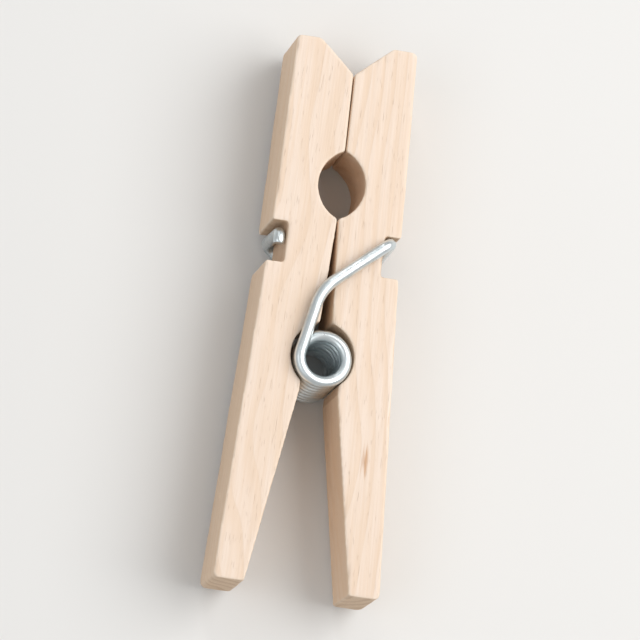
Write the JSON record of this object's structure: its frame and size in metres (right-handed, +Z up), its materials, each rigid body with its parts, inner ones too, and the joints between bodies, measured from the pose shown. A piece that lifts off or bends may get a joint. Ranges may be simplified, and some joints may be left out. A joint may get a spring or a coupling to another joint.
{
  "type": "clothespin",
  "caption": "Small wooden spring clothespin: two levers hinged on the coil of a wire torsion spring, with V mouth, line hole and tapered handles.",
  "frame": {"origin": "centre of the clothespin's footprint, on the surface that it lies on", "axes": "lying on its side: +Y from handle ends to jaw tips, +X from the left lever to the right lever, +Z up along the coil's axis"},
  "size_m": [0.0144, 0.048, 0.0088],
  "materials": {
    "lever_wood": "bare sanded birch, unvarnished",
    "spring_wire": "bright zinc-plated wire"
  },
  "bodies": {
    "left_lever": {"left_lever": "lever_wood", "left_spring_arm": "spring_wire"},
    "right_lever": {"right_lever": "lever_wood", "right_spring_arm": "spring_wire"},
    "spring_coil": {"spring_coil": "spring_wire"}
  },
  "joints": [
    {"name": "jaw_open", "type": "hinge", "parent": "left_lever", "child": "right_lever", "pos_m": [0, -0.0041, 0.00442], "axis": [0, 0, -1], "range_deg": [0, 25], "stiffness_Nm_per_rad": 0.1, "springref_deg": -28.65},
    {"name": "coil_turn", "type": "hinge", "parent": "left_lever", "child": "spring_coil", "pos_m": [0, -0.0041, 0.00442], "axis": [0, 0, -1], "range_deg": [0, 12.5]}
  ],
  "couplings": [
    {"joint": "coil_turn", "follows": "jaw_open", "ratio": 0.5}
  ]
}
